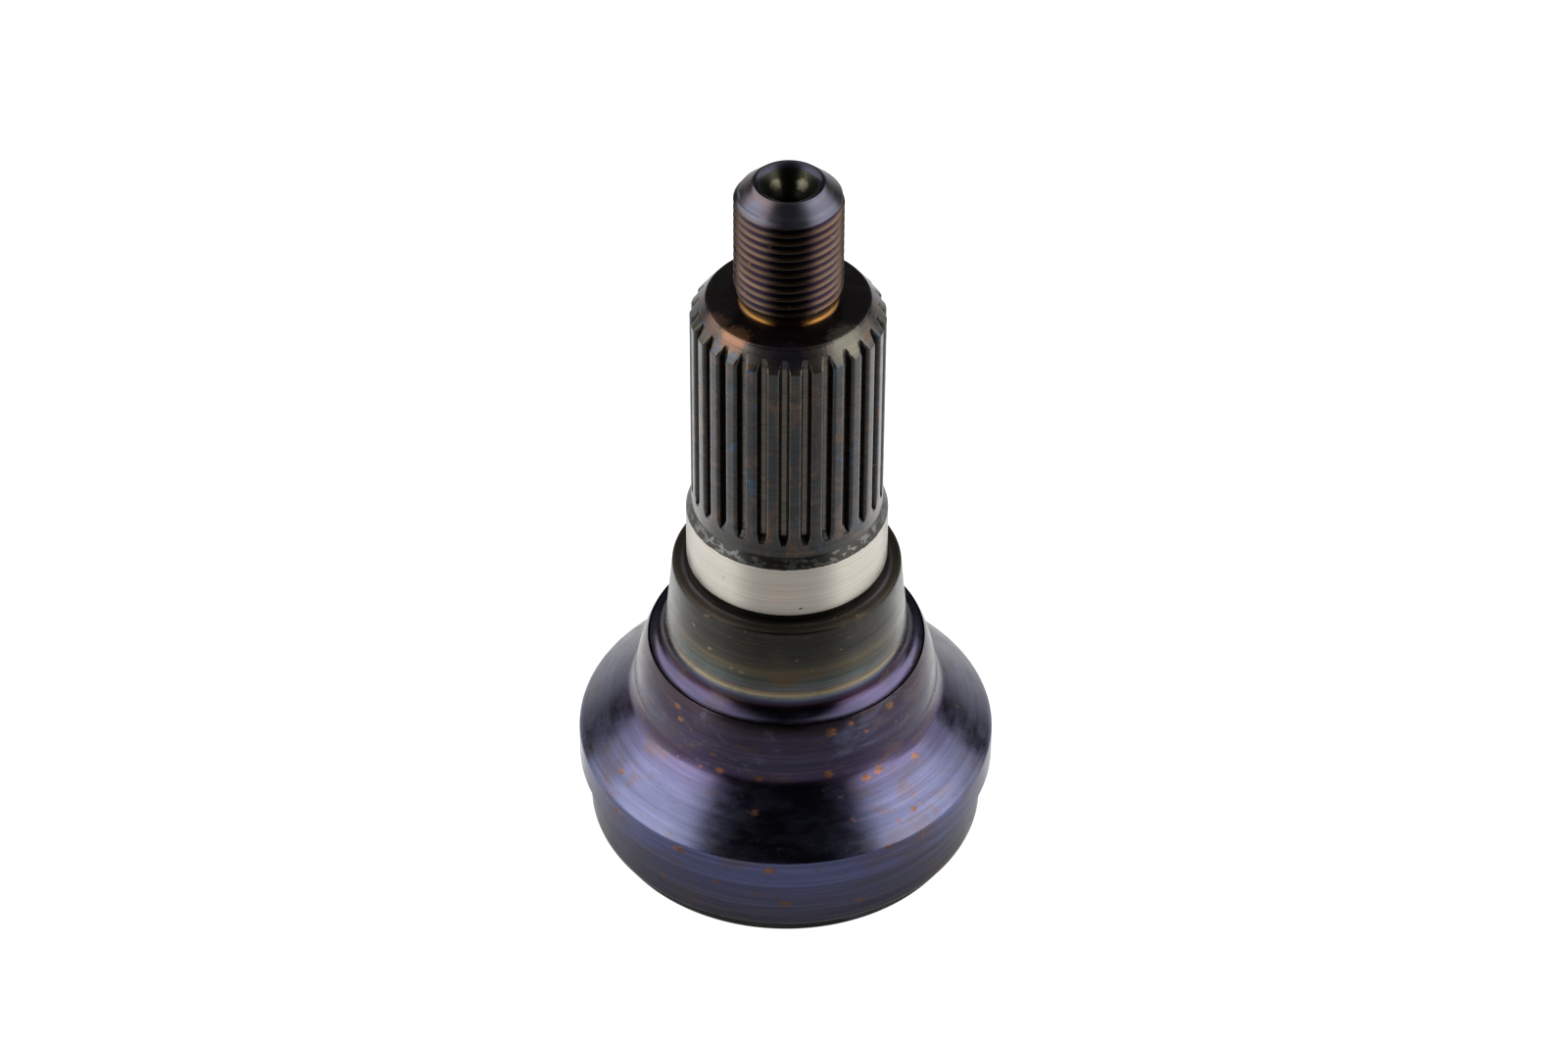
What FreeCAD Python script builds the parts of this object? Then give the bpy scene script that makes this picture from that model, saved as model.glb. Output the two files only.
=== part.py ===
import FreeCAD, Part
import math
import os

# Midship tube shaft of a two piece driveshaft, standing on its tube end.
# Millimetres, +Z up along the shaft axis, origin at the centre of the bottom edge.
# The front of the photograph is the -Y side.
# The real shaft is one forging. It is divided at the planes where one job on the
# shaft ends and the next one starts, and the pieces meet face to face there.

# Tube and the seat that goes into it
tube_outer_diameter = 63.5
tube_wall = 1.65
seat_height = 12.5
seat_lead_depth = 1.9
seat_lead_length = 3.15

# Hollow forged into the tube end, with the lower centre hole at its top
recess_wall = 8.6
recess_draft = 7.0
recess_depth = 22.0
recess_end_chamfer = 3.5
recess_mouth_chamfer = 1.0
lower_centre_diameter = 6.0
lower_pilot_diameter = 2.5
lower_pilot_depth = 2.5

# Flared body: the rim that the tube butts against, cone and neck
rim_height = 4.8
rim_edge_chamfer = 0.2
cone_angle = 45.0
cone_foot_chamfer = 1.3
neck_draft = 4.0
neck_straight = 1.9
neck_top_height = 7.57
neck_swell = 2.0
neck_bulge = 0.37

# Stop collar for the centre bearing, and the groove between its wall and the crest
collar_height = 15.1
collar_shoulder = 2.14
collar_draft = 5.2
collar_edge_chamfer = 0.3
collar_fillet = 3.26
crest_angle = 9.0

# Ground journal for the centre bearing
journal_diameter = 30.0
journal_length = 8.8
journal_relief_width = 1.55
journal_relief_depth = 0.45
journal_step = 0.8
journal_lead_length = 1.75

# Spline
spline_teeth = 27
spline_land_length = 2.2
spline_length = 34.9
spline_groove_depth = 1.3
spline_groove_width = 1.5
spline_floor_width = 0.66
spline_runout_clearance = 0.45
spline_chamfer_depth = 2.3
spline_chamfer_length = 3.0
spline_phase = -2.1

# Threaded end, up to the outer diameter of the thread
thread_diameter = 15.8
thread_length = 15.4
thread_relief_depth = 1.1
thread_relief_width = 1.5
thread_relief_chamfer = 0.35
nose_chamfer_depth = 2.8
nose_chamfer_length = 2.6
nose_flat_width = 0.2

# Centre hole in the threaded end, and the cone that both centre holes share
centre_guard_width = 0.7
centre_guard_angle = 60.0
centre_cone_angle = 30.0
centre_pilot_diameter = 3.6
centre_pilot_depth = 3.0

# How far a cutting body stands out of the surface that it cuts
cut_margin = 1.0

# Radii that follow from the sizes above
rim_radius = tube_outer_diameter / 2
seat_radius = rim_radius - tube_wall
journal_radius = journal_diameter / 2
collar_radius = journal_radius + collar_shoulder
spline_radius = journal_radius - journal_step
root_radius = spline_radius - spline_groove_depth
thread_radius = thread_diameter / 2
relief_radius = thread_radius - thread_relief_depth
nose_radius = thread_radius - nose_chamfer_depth


def slope(angle):
    """Rise over run of an angle in degrees."""
    return math.tan(math.radians(angle))


# The groove at the collar's foot is an arc, tangent to the collar's wall and
# leaving the crest at crest_angle. Its two tangents meet at foot_radius, foot_rise
# above the crest.
groove_turn = math.radians(90 + collar_draft + crest_angle)
groove_reach = collar_fillet / math.tan(groove_turn / 2)
foot_rise = groove_reach * math.sin(math.radians(crest_angle))
foot_radius = collar_radius + (collar_height - foot_rise) * slope(collar_draft)
crest_radius = foot_radius + groove_reach * math.cos(math.radians(crest_angle))

# The cone and the straight foot of the neck meet at corner_radius
neck_radius = crest_radius + neck_swell
corner_radius = neck_radius + neck_straight * slope(neck_draft)

# Heights that follow, from the bottom up
seat_top = seat_height
rim_top = seat_top + rim_height
corner_height = rim_top + (rim_radius - corner_radius) * slope(cone_angle)
neck_foot = corner_height + neck_straight
crest_height = neck_foot + neck_top_height
foot_height = crest_height + foot_rise
collar_top = crest_height + collar_height
journal_foot = collar_top + journal_relief_width
journal_top = journal_foot + journal_length
land_foot = journal_top + journal_lead_length
groove_foot = land_foot + spline_land_length
end_face = groove_foot + spline_length
relief_top = end_face + thread_relief_width
thread_foot = relief_top + thread_relief_depth
thread_top = thread_foot + thread_length
nose_top = thread_top + nose_chamfer_length

# Run-out of the spline grooves: the cutter's radius and the length that it needs
runout_radius = spline_groove_depth + spline_runout_clearance
runout_length = math.sqrt(runout_radius ** 2 - spline_runout_clearance ** 2)


def point(radius, height):
    """A point of a half section, in the plane that looks along +Y."""
    return FreeCAD.Vector(radius, 0, height)


def section(corners):
    """Closed half section through (radius, height) corners.

    A third number rounds the corner with an arc of that radius. With the word
    chamfer after it, that length is cut off both sides of the corner instead.
    """
    edges = []
    starts = []
    ends = []
    middles = []
    count = len(corners)
    for i in range(count):
        here = point(corners[i][0], corners[i][1])
        if len(corners[i]) == 2:
            starts.append(here)
            ends.append(here)
            middles.append(None)
            continue
        size = corners[i][2]
        before = point(corners[i - 1][0], corners[i - 1][1]) - here
        after = point(corners[(i + 1) % count][0], corners[(i + 1) % count][1]) - here
        half = before.getAngle(after) / 2
        before.normalize()
        after.normalize()
        if corners[i][-1] == "chamfer":
            starts.append(here + before * size)
            ends.append(here + after * size)
            middles.append(None)
            continue
        reach = size / math.tan(half)
        inward = before + after
        inward.normalize()
        starts.append(here + before * reach)
        ends.append(here + after * reach)
        middles.append(here + inward * (size / math.sin(half) - size))
    for i in range(count):
        if middles[i] is not None:
            edges.append(Part.Arc(starts[i], middles[i], ends[i]).toShape())
        elif starts[i] != ends[i]:
            edges.append(Part.LineSegment(starts[i], ends[i]).toShape())
        following = starts[(i + 1) % count]
        if ends[i].distanceToPoint(following) > 1e-6:
            edges.append(Part.LineSegment(ends[i], following).toShape())
    return Part.Wire(edges)


def turned(wire):
    """Solid of revolution of a half section about the shaft axis."""
    face = Part.Face(wire)
    return face.revolve(FreeCAD.Vector(0, 0, 0), FreeCAD.Vector(0, 0, 1), 360)


def recess():
    """Forged hollow of the tube end with the centre hole at its top."""
    mouth = seat_radius - recess_wall
    wide = mouth + recess_mouth_chamfer
    low = mouth - recess_mouth_chamfer * slope(recess_draft)
    narrow = mouth - recess_depth * slope(recess_draft)
    hollow = turned(section([
        (0, -cut_margin),
        (wide + cut_margin, -cut_margin),
        (low, recess_mouth_chamfer),
        (narrow, recess_depth, recess_end_chamfer, "chamfer"),
        (0, recess_depth),
    ]))
    wide = lower_centre_diameter / 2
    narrow = lower_pilot_diameter / 2
    cone_top = recess_depth + (wide - narrow) / slope(centre_cone_angle)
    centre = turned(section([
        (0, recess_depth - cut_margin),
        (wide, recess_depth - cut_margin),
        (wide, recess_depth),
        (narrow, cone_top),
        (narrow, cone_top + lower_pilot_depth),
        (0, cone_top + lower_pilot_depth),
    ]))
    return hollow.fuse(centre).removeSplitter()


def tube_seat():
    """Cylinder that is pressed into the tube, with its lead-in."""
    return turned(section([
        (0, 0),
        (seat_radius - seat_lead_depth, 0),
        (seat_radius, seat_lead_length),
        (seat_radius, seat_top),
        (0, seat_top),
    ]))


def flared_body():
    """Rim, cone and the bulged neck up to the sharp crest."""
    # the middle of the neck stands out neck_bulge from the line between its ends
    chord = math.hypot(neck_swell, neck_top_height)
    bulge_radius = (neck_radius + crest_radius) / 2 + neck_bulge * neck_top_height / chord
    bulge_height = (neck_foot + crest_height) / 2 + neck_bulge * neck_swell / chord
    return turned(section([
        (0, seat_top),
        (rim_radius, seat_top),
        (rim_radius, rim_top, rim_edge_chamfer, "chamfer"),
        (corner_radius, corner_height, cone_foot_chamfer, "chamfer"),
        (neck_radius, neck_foot),
        (bulge_radius, bulge_height),
        (crest_radius, crest_height),
        (0, crest_height),
    ]))


def stop_collar():
    """Tapered collar that the bearing stops against, with the groove at its foot."""
    return turned(section([
        (0, crest_height),
        (crest_radius, crest_height),
        (foot_radius, foot_height, collar_fillet),
        (collar_radius, collar_top, collar_edge_chamfer, "chamfer"),
        (0, collar_top),
    ]))


def bearing_journal():
    """Ground seat of the bearing, undercut at its foot and chamfered at its lead."""
    undercut = journal_radius - journal_relief_depth
    return turned(section([
        (0, collar_top),
        (undercut, collar_top),
        (undercut, journal_foot - journal_relief_depth),
        (journal_radius, journal_foot),
        (journal_radius, journal_top),
        (spline_radius, land_foot),
        (0, land_foot),
    ]))


def groove_section(height):
    """Face of one groove across the shaft: flat floor and sloping flanks."""
    half_top = spline_groove_width / 2
    half_floor = spline_floor_width / 2
    flank = math.atan2(half_top - half_floor, spline_groove_depth)
    outside = spline_radius + spline_runout_clearance / 2
    half = [
        (half_floor, root_radius),
        (half_top + (outside - spline_radius) * math.tan(flank), outside),
    ]
    corners = half + [(-x, y) for x, y in reversed(half)]
    corners.append(corners[0])
    return Part.Face(Part.makePolygon([FreeCAD.Vector(x, y, height) for x, y in corners]))


def groove():
    """Cutting body of one groove: its straight length and the run-out at its foot."""
    height = groove_foot + runout_length
    face = groove_section(height)
    straight = face.extrude(FreeCAD.Vector(0, 0, end_face - height + cut_margin))
    pivot = FreeCAD.Vector(0, root_radius + runout_radius, height)
    runout = face.revolve(pivot, FreeCAD.Vector(1, 0, 0), 90)
    cutter = straight.fuse(runout).removeSplitter()
    # the section is drawn at the back, and half a turn brings it to the front
    cutter.rotate(FreeCAD.Vector(0, 0, 0), FreeCAD.Vector(0, 0, 1), 180 + spline_phase)
    return cutter


def spline_section():
    """Splined length: plain land, teeth with run-outs, and the end chamfer."""
    blank = turned(section([
        (0, land_foot),
        (spline_radius, land_foot),
        (spline_radius, end_face - spline_chamfer_length),
        (spline_radius - spline_chamfer_depth, end_face),
        (0, end_face),
    ]))
    first = groove()
    grooves = []
    for i in range(spline_teeth):
        copy = first.copy()
        copy.rotate(FreeCAD.Vector(0, 0, 0), FreeCAD.Vector(0, 0, 1), i * 360 / spline_teeth)
        grooves.append(copy)
    return blank.cut(grooves)


def threaded_end():
    """Threaded stub: relief at its foot, thread blank, nose chamfer, centre hole."""
    stub = turned(section([
        (0, end_face),
        (relief_radius + thread_relief_chamfer, end_face),
        (relief_radius, end_face + thread_relief_chamfer),
        (relief_radius, relief_top),
        (thread_radius, thread_foot),
        (thread_radius, thread_top),
        (nose_radius, nose_top),
        (0, nose_top),
    ]))
    mouth = nose_radius - nose_flat_width
    wide = mouth - centre_guard_width
    narrow = centre_pilot_diameter / 2
    guard_foot = nose_top - centre_guard_width / slope(centre_guard_angle)
    cone_foot = guard_foot - (wide - narrow) / slope(centre_cone_angle)
    hole = turned(section([
        (0, cone_foot - centre_pilot_depth),
        (narrow, cone_foot - centre_pilot_depth),
        (narrow, cone_foot),
        (wide, guard_foot),
        (mouth, nose_top),
        (mouth, nose_top + cut_margin),
        (0, nose_top + cut_margin),
    ]))
    return stub.cut(hole)


os.makedirs("parts", exist_ok=True)
hollow = recess()
pieces = {
    "tube_seat": tube_seat().cut(hollow),
    "flared_body": flared_body().cut(hollow),
    "stop_collar": stop_collar(),
    "bearing_journal": bearing_journal(),
    "spline_section": spline_section(),
    "threaded_end": threaded_end(),
}
for name, shape in pieces.items():
    print(name, len(shape.Solids), "solid, valid", shape.isValid(), "mm3", round(shape.Volume, 1))
    shape.Solids[0].exportStep("parts/" + name + ".step")
print("height", round(nose_top, 3), "crest radius", round(crest_radius, 3))
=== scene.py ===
import logging
import math
from dataclasses import dataclass
from enum import Enum
from functools import reduce
from typing import Any, Mapping, Optional, Sequence, Union

import bmesh
import bpy
from mathutils import Matrix, Vector


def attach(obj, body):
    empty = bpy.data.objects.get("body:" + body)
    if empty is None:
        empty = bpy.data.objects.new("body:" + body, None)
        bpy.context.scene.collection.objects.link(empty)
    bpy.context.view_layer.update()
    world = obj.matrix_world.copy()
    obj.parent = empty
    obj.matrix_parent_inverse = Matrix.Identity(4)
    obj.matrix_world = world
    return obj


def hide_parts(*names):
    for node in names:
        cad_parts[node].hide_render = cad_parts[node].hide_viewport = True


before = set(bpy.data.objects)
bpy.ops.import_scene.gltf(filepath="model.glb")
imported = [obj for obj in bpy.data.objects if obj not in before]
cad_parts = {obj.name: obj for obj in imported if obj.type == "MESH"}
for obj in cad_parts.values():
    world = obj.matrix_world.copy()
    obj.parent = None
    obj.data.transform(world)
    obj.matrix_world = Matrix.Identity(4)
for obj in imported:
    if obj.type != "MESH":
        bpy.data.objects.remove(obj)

LOG = logging.getLogger("midship_shaft")
MM = 0.001
Colour = tuple[float, float, float]
Value = Union["Wire", int, float]


# --- Shader maths -----------------------------------------------------------

class Wire:
    """A number socket of a material, with the operators that its maths uses."""

    def __init__(self, bench: "Bench", socket: bpy.types.NodeSocket) -> None:
        """Wraps a socket.

        Args:
            bench: the material that the socket belongs to.
            socket: an output that gives a number.
        """
        self.bench = bench
        self.socket = socket

    def _math(self, operation: str, *values: Value) -> "Wire":
        """Adds a Math node and returns its result."""
        made = self.bench.node("ShaderNodeMath", {"operation": operation}, dict(enumerate(values)))
        return Wire(self.bench, made.outputs[0])

    def __add__(self, other: Value) -> "Wire":
        """Sum."""
        return self._math("ADD", self, other)

    __radd__ = __add__

    def __sub__(self, other: Value) -> "Wire":
        """Difference."""
        return self._math("SUBTRACT", self, other)

    def __rsub__(self, other: Value) -> "Wire":
        """Difference with the number first."""
        return self._math("SUBTRACT", other, self)

    def __mul__(self, other: Value) -> "Wire":
        """Product."""
        return self._math("MULTIPLY", self, other)

    __rmul__ = __mul__

    def __truediv__(self, other: Value) -> "Wire":
        """Quotient."""
        return self._math("DIVIDE", self, other)

    def __pow__(self, other: Value) -> "Wire":
        """Power."""
        return self._math("POWER", self, other)

    def larger(self, other: Value) -> "Wire":
        """The larger of two numbers."""
        return self._math("MAXIMUM", self, other)

    def size(self) -> "Wire":
        """The number without its sign."""
        return self._math("ABSOLUTE", self)

    def rise(self, start: float, end: float) -> "Wire":
        """A smooth step from 0 at start to 1 at end.

        Args:
            start: where the step starts.
            end: where it is complete. It may be lower than start.

        Returns:
            The step.
        """
        made = self.bench.node("ShaderNodeMapRange", {"interpolation_type": "SMOOTHSTEP"},
                               {"Value": self, "From Min": start, "From Max": end})
        return Wire(self.bench, made.outputs["Result"])


class Blend(Enum):
    """How one colour goes on another."""

    COVER = "MIX"
    TINT = "MULTIPLY"


def grey(level: float) -> Colour:
    """The grey of a level."""
    return (level, level, level)


class Bench:
    """One material in the making: its nodes, and the patterns that finishes share.

    Attributes:
        squash: how much flatter than wide the blots are.
        blot_edge: where a blot's edge starts and where it is full, in sizes of the blot.
        ramp_ends: where the ramp of a noise starts and ends.
    """

    squash: float = 1.5
    blot_edge: tuple[float, float] = (1.15, 0.6)
    ramp_ends: tuple[float, float] = (0.3, 0.7)

    def __init__(self, name: str) -> None:
        """Starts a material with a Principled shader.

        Args:
            name: the material's name.
        """
        self.material = bpy.data.materials.new(name)
        self.material.use_nodes = True
        self.tree = self.material.node_tree
        self.tree.nodes.clear()
        self.shader = self.node("ShaderNodeBsdfPrincipled")
        self.node("ShaderNodeOutputMaterial", {}, {"Surface": self.shader.outputs[0]})
        self.place = self.node("ShaderNodeTexCoord").outputs["Object"]
        parts = self.node("ShaderNodeSeparateXYZ", {}, {0: self.place})
        self.x = Wire(self, parts.outputs["X"]) / MM
        self.y = Wire(self, parts.outputs["Y"]) / MM
        self.z = Wire(self, parts.outputs["Z"]) / MM
        self.radius = (self.x * self.x + self.y * self.y) ** 0.5

    def feed(self, socket: bpy.types.NodeSocket, value: Any) -> None:
        """Gives an input its link or its value.

        Args:
            socket: the input.
            value: a Wire or an output to link, or a plain value.
        """
        if isinstance(value, Wire):
            value = value.socket
        if isinstance(value, bpy.types.NodeSocket):
            self.tree.links.new(value, socket)
        elif isinstance(value, tuple) and socket.type == "RGBA":
            socket.default_value = (*value, 1.0)
        else:
            socket.default_value = value

    def node(self, kind: str, settings: Optional[Mapping[str, Any]] = None,
             inputs: Optional[Mapping[Union[str, int], Any]] = None) -> bpy.types.Node:
        """Adds a node.

        Args:
            kind: the node's type.
            settings: its settings, set before its sockets. stops gives a ramp's
                (position, colour) pairs.
            inputs: what goes to its sockets, by name or number.

        Returns:
            The node.
        """
        made = self.tree.nodes.new(kind)
        for key, value in (settings or {}).items():
            if key == "stops":
                self._stops(made.color_ramp, value)
            else:
                setattr(made, key, value)
        for key, value in (inputs or {}).items():
            self.feed(made.inputs[key], value)
        return made

    @staticmethod
    def _stops(ramp: bpy.types.ColorRamp, stops: Sequence[tuple[float, Colour]]) -> None:
        """Gives a colour ramp its stops."""
        while len(ramp.elements) < len(stops):
            ramp.elements.new(1.0)
        for element, (place, colour) in zip(ramp.elements, stops):
            element.position = place
            element.color = (*colour, 1.0)

    def stretched(self, across: float, along: float,
                  shift: tuple[float, float, float] = (0.0, 0.0, 0.0)) -> bpy.types.NodeSocket:
        """Place on the piece in millimetres, scaled differently along the shaft.

        Args:
            across: factor on x and y.
            along: factor on z.
            shift: moved by this afterwards, to get another cut of the same noise.

        Returns:
            A vector socket.
        """
        made = self.node("ShaderNodeMapping", {}, {
            "Vector": self.place, "Location": shift,
            "Scale": (across / MM, across / MM, along / MM)})
        return made.outputs[0]

    def noise(self, across: float, along: float, detail: float = 3.0, rough: float = 0.5,
              shift: float = 0.0, warp: float = 0.0) -> Wire:
        """Noise in cells per millimetre.

        Args:
            across: cells per millimetre across the shaft.
            along: cells per millimetre along the shaft.
            detail: octaves.
            rough: strength of the finer octaves.
            shift: another cut of the noise.
            warp: distortion.

        Returns:
            The noise, mostly between 0.3 and 0.7.
        """
        made = self.node("ShaderNodeTexNoise", {"noise_dimensions": "3D"}, {
            "Vector": self.stretched(across, along, (shift, 0.37 * shift, 1.3 * shift)),
            "Scale": 1.0, "Detail": detail, "Roughness": rough, "Distortion": warp})
        return Wire(self, made.outputs[0])

    def mix(self, share: Value, first: Any, second: Any,
            blend: Blend = Blend.COVER) -> bpy.types.NodeSocket:
        """Mixes two colours.

        Args:
            share: how much of the second one shows.
            first: colour or colour socket.
            second: colour or colour socket.
            blend: how the second one goes on the first.

        Returns:
            A colour socket.
        """
        # a Mix node has one set of sockets for each type, and its colours are 6, 7 and 2
        made = self.node("ShaderNodeMix", {"data_type": "RGBA", "blend_type": blend.value},
                         {0: share, 6: first, 7: second})
        return made.outputs[2]

    def ramp(self, value: Wire, stops: Sequence[tuple[float, Colour]]) -> bpy.types.NodeSocket:
        """Colour ramp over a number from 0 to 1."""
        return self.node("ShaderNodeValToRGB", {"stops": stops}, {0: value}).outputs[0]

    def shades(self, pattern: Wire, low: Colour, high: Colour) -> bpy.types.NodeSocket:
        """Colours from low to high over the usual range of a noise."""
        start, end = self.ramp_ends
        return self.ramp(pattern, ((start, low), (end, high)))

    def banded(self, value: Wire, bands: Sequence[tuple[float, Colour]]) -> bpy.types.NodeSocket:
        """Colour ramp over any range of a number.

        Args:
            value: the number, such as a height in millimetres.
            bands: (number, colour) pairs in rising order.

        Returns:
            A colour socket.
        """
        low, high = bands[0][0], bands[-1][0]
        scaled = (value - low) / (high - low)
        return self.ramp(scaled, [((at - low) / (high - low), colour) for at, colour in bands])

    def spots(self, places: Sequence["Spot"], ragged: float = 2.0) -> Wire:
        """Blots at given places, with ragged edges.

        Args:
            places: where the blots are.
            ragged: how far noise pushes their edges, as a share of their size.

        Returns:
            1 inside the blots and 0 elsewhere.
        """
        edge = self.noise(1.5, 3.6, detail=4.0, rough=0.75, shift=61.0) - 0.5
        edge = edge * (2.0 * ragged)
        flat = self.stretched(MM, MM * self.squash)
        blots = []
        for spot in places:
            x, y, z = spot.place()
            away = self.node("ShaderNodeVectorMath", {"operation": "DISTANCE"},
                             {0: flat, 1: (x, y, z * self.squash)})
            reach = Wire(self, away.outputs["Value"]) / (spot.size * MM)
            blots.append((reach + edge).rise(*self.blot_edge))
        return reduce(Wire.larger, blots)

    def grain(self, stretch: float, edge: Colour) -> None:
        """Draws reflections out along the shaft, as fine lines round it do.

        Args:
            stretch: how far they are drawn out.
            edge: tint of the reflections at a grazing angle.
        """
        quarter_turn = 0.25
        self.feed(self.shader.inputs["Anisotropic"], stretch)
        self.feed(self.shader.inputs["Anisotropic Rotation"], quarter_turn)
        self.feed(self.shader.inputs["Specular Tint"], edge)

    def finish(self, colour: Any, roughness: Value, metallic: float = 1.0,
               height: Optional[Wire] = None, depth: float = 0.02) -> bpy.types.Material:
        """Links the shader.

        Args:
            colour: base colour or its socket.
            roughness: roughness.
            metallic: metallic.
            height: relief between 0 and 1, or none.
            depth: depth of the relief in millimetres.

        Returns:
            The finished material.
        """
        inputs = self.shader.inputs
        self.feed(inputs["Base Color"], colour)
        self.feed(inputs["Roughness"], roughness)
        self.feed(inputs["Metallic"], metallic)
        if height is not None:
            relief = self.node("ShaderNodeBump", {}, {"Strength": 1.0, "Distance": depth * MM,
                                                      "Height": height})
            self.feed(inputs["Normal"], relief.outputs[0])
        return self.material


# --- Finishes ---------------------------------------------------------------

@dataclass(frozen=True)
class Spot:
    """Place of a blot on a surface.

    Attributes:
        turn: degrees round the shaft from the front, rising to the right.
        radius: distance from the axis in mm.
        height: height in mm.
        size: radius of the blot in mm.
    """

    turn: float
    radius: float
    height: float
    size: float

    def place(self) -> tuple[float, float, float]:
        """The blot's centre in metres."""
        turn = math.radians(self.turn)
        return (self.radius * math.sin(turn) * MM, -self.radius * math.cos(turn) * MM,
                self.height * MM)


@dataclass(frozen=True)
class StainAndSheen:
    """A broad patch in a colour of its own. Some are stains, two are painted glints and one is a
    painted pink reflection tint.

    Attributes:
        spot: where it is.
        colour: its colour.
        share: how strongly it shows.
    """

    spot: Spot
    colour: Colour
    share: float = 0.85


@dataclass(frozen=True)
class Recess:
    """Another colour below a radius, such as between threads or in a hole; some are painted shade.

    Attributes:
        heights: lowest and highest height in mm.
        radii: radius where it starts and the smaller one where it is full, in mm.
        colour: the colour.
        fade: half the height over which its ends fade, in mm.
    """

    heights: tuple[float, float]
    radii: tuple[float, float]
    colour: Colour
    fade: float = 0.15

    def mask(self, bench: Bench) -> Wire:
        """Where the recess is.

        Args:
            bench: the material in the making.

        Returns:
            1 in the recess and 0 elsewhere.
        """
        low, high = self.heights
        above = bench.z.rise(low - self.fade, low + self.fade)
        below = bench.z.rise(high + self.fade, high - self.fade)
        return bench.radius.rise(*self.radii) * above * below


class Marks(Enum):
    """What the last tool left on a surface."""

    TURNED = "turned"
    CUT = "cut"


@dataclass(frozen=True)
class HeatTint:
    """Dark steel with temper colours, brown blotches and rust spots.

    Attributes:
        name: the material's name.
        bands: (height in mm, colour) from the bottom up.
        wander: how far the bands wander, in mm.
        blotch: colour of the larger blotches.
        blotch_share: how strongly they show.
        blotch_cells: blotches per mm across and along the shaft.
        patch: colour of another set of blotches.
        patch_share: how strongly those show.
        stains_and_sheens: broad patches in colours of their own: stains, and two painted glints in
            the centre hole.
        recesses: parts below a radius in other colours; some are painted shade.
        speck: colour of the specks and of the rust spots where they are freshest.
        speck_dark: their colour elsewhere.
        speck_share: how strongly the specks show.
        rust: where the larger rust spots are.
        streak: how strongly light and dark lines round the shaft show.
        roughness: lowest and highest roughness.
        metallic: metallic.
        marks: what the tool left.
        depth: depth of the marks in mm.
        stretch: how far reflections are drawn out along the shaft.
        edge: tint of the reflections at a grazing angle.
        dull: (low, high, added roughness) for lengths of the shaft that are dull.
        dull_fade: height in mm over which their ends fade.
        stain_and_sheen_edge: how ragged the edges of the stains and painted glints are.
        rust_share: how strongly the larger rust spots show.
        speck_rough: how much rougher specks and rust are.
        seed: another cut of every pattern.
    """

    name: str
    bands: tuple[tuple[float, Colour], ...]
    wander: float = 0.4
    blotch: Colour = (0.045, 0.03, 0.024)
    blotch_share: float = 0.5
    blotch_cells: tuple[float, float] = (0.13, 0.26)
    patch: Colour = (0.05, 0.066, 0.1)
    patch_share: float = 0.0
    stains_and_sheens: tuple[StainAndSheen, ...] = ()
    recesses: tuple[Recess, ...] = ()
    speck: Colour = (0.078, 0.038, 0.02)
    speck_dark: Colour = (0.055, 0.03, 0.018)
    speck_share: float = 0.5
    rust: tuple[Spot, ...] = ()
    streak: float = 0.3
    roughness: tuple[float, float] = (0.2, 0.3)
    metallic: float = 1.0
    marks: Marks = Marks.TURNED
    depth: float = 0.003
    stretch: float = 0.4
    edge: Colour = (0.8, 0.8, 0.8)
    dull: tuple[tuple[float, float, float], ...] = ()
    dull_fade: float = 0.15
    stain_and_sheen_edge: float = 0.8
    rust_share: float = 0.85
    speck_rough: float = 0.2
    seed: float = 0.0

    def tool_marks(self, bench: Bench) -> Wire:
        """Relief that the tool left.

        Args:
            bench: the material in the making.

        Returns:
            Relief between 0 and 1.
        """
        if self.marks is Marks.TURNED:
            fine = bench.noise(0.02, 5.0, detail=2.0, rough=0.6, shift=3.1 + self.seed)
            coarse = bench.noise(0.05, 1.3, detail=2.0, rough=0.5, shift=7.7 + self.seed)
            return fine * 0.6 + coarse * 0.4
        along = bench.noise(1.2, 0.25, detail=3.0, rough=0.6, shift=2.9 + self.seed)
        around = bench.noise(0.1, 3.0, detail=2.0, rough=0.5, shift=4.4 + self.seed)
        return along * 0.5 + around * 0.5

    def skin(self, bench: Bench) -> bpy.types.NodeSocket:
        """Temper colours with blotches, recesses, stains, painted glints and streaks; some
        recesses are painted shade.

        Args:
            bench: the material in the making.

        Returns:
            A colour socket.
        """
        cloud = bench.noise(0.09, 0.12, detail=4.0, rough=0.6, shift=11.0 + self.seed, warp=0.6)
        colour = bench.banded(bench.z + (cloud - 0.5) * (2.0 * self.wander), self.bands)
        cells = self.blotch_cells
        blotch = bench.noise(*cells, detail=5.0, rough=0.65, shift=21.0 + self.seed, warp=0.8)
        colour = bench.mix(blotch.rise(0.5, 0.66) * self.blotch_share, colour, self.blotch)
        if self.patch_share:
            patch = bench.noise(*cells, detail=5.0, rough=0.7, shift=71.0 + self.seed, warp=0.6)
            colour = bench.mix(patch.rise(0.54, 0.66) * self.patch_share, colour, self.patch)
        # some recesses are painted shade: the thread grooves and the bottom of the centre hole
        for recess in self.recesses:
            colour = bench.mix(recess.mask(bench), colour, recess.colour)
        # stains, and in the centre hole two painted glints
        for stain_and_sheen in self.stains_and_sheens:
            shown = bench.spots((stain_and_sheen.spot,), self.stain_and_sheen_edge) * stain_and_sheen.share
            colour = bench.mix(shown, colour, stain_and_sheen.colour)
        lines = bench.noise(0.03, 1.6, detail=4.0, rough=0.65, shift=31.0 + self.seed)
        streaks = bench.shades(lines, grey(1.0 - self.streak), grey(1.0 + self.streak))
        return bench.mix(1.0, colour, streaks, Blend.TINT)

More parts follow.
